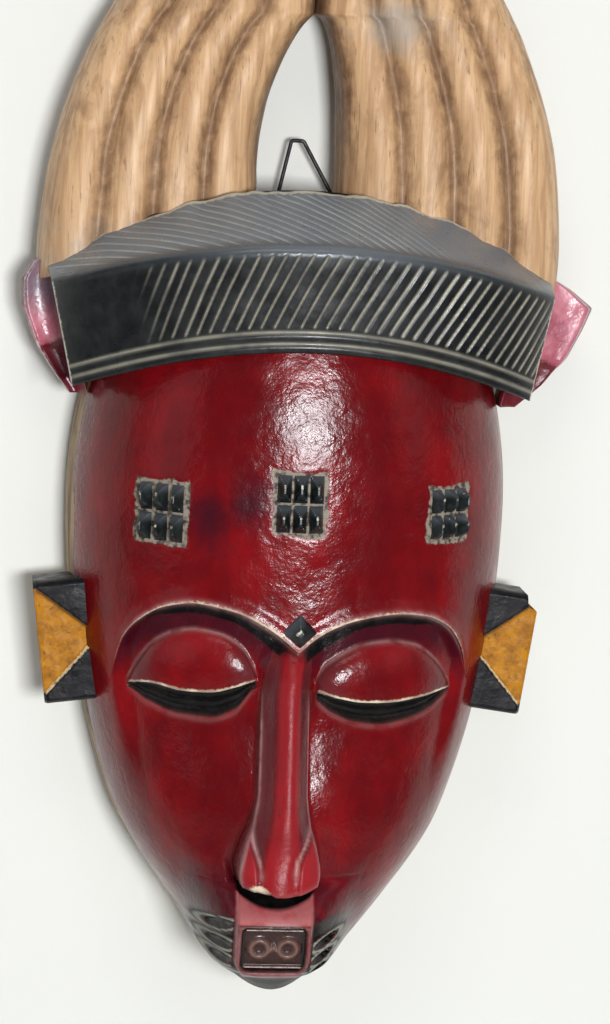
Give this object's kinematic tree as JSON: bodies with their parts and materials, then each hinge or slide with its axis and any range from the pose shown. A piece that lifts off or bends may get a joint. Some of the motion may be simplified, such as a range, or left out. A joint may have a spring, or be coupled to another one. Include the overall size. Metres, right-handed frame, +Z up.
{
  "type": "carved wooden mask",
  "caption": "Horned wooden wall mask with a hollow red face, a hatched black crown band, two fluted horns touching at the tips, ear flaps, ear ornaments and a wire hanger.",
  "frame": {"origin": "on the wall plane, behind the place where a hook carries the hanger wire", "axes": "+Z up the wall, +Y into the wall, -Y the side that the face looks to, +X to the right of someone facing the mask"},
  "size_m": [0.206, 0.105, 0.427],
  "materials": {
    "face_red": "gloss paint on carved wood, bare at the rim and inside",
    "flap_red": "gloss paint",
    "crown_black": "gloss paint with scratched lines",
    "ornament_black": "satin paint with an ochre triangle",
    "stud_black": "gloss paint",
    "mouth_brown": "satin stain",
    "horn_wood": "bare wood, satin",
    "dowel_wood": "bare wood",
    "screw_steel": "dull zinc",
    "wire_steel": "black annealed wire"
  },
  "bodies": {
    "mask": {"face_shell": "face_red", "crown_band": "crown_black", "horn_left": "horn_wood", "horn_right": "horn_wood", "flap_left": "flap_red", "flap_right": "flap_red", "ornament_left": "ornament_black", "ornament_right": "ornament_black", "studs_left": "stud_black", "studs_centre": "stud_black", "studs_right": "stud_black", "brow_stud": "stud_black", "mouth_plate": "mouth_brown", "horn_dowels": "dowel_wood", "flap_pegs": "dowel_wood", "ornament_wedges": "dowel_wood", "crown_screws": "screw_steel", "hanger_eyes": "wire_steel"},
    "hanger": {"hanger_wire": "wire_steel"}
  },
  "joints": [
    {"name": "wire_swing", "type": "hinge", "parent": "mask", "child": "hanger", "pos_m": [0.006, -0.0072, -0.0366], "axis": [1, 0, 0], "range_deg": [-155, 10]}
  ]
}
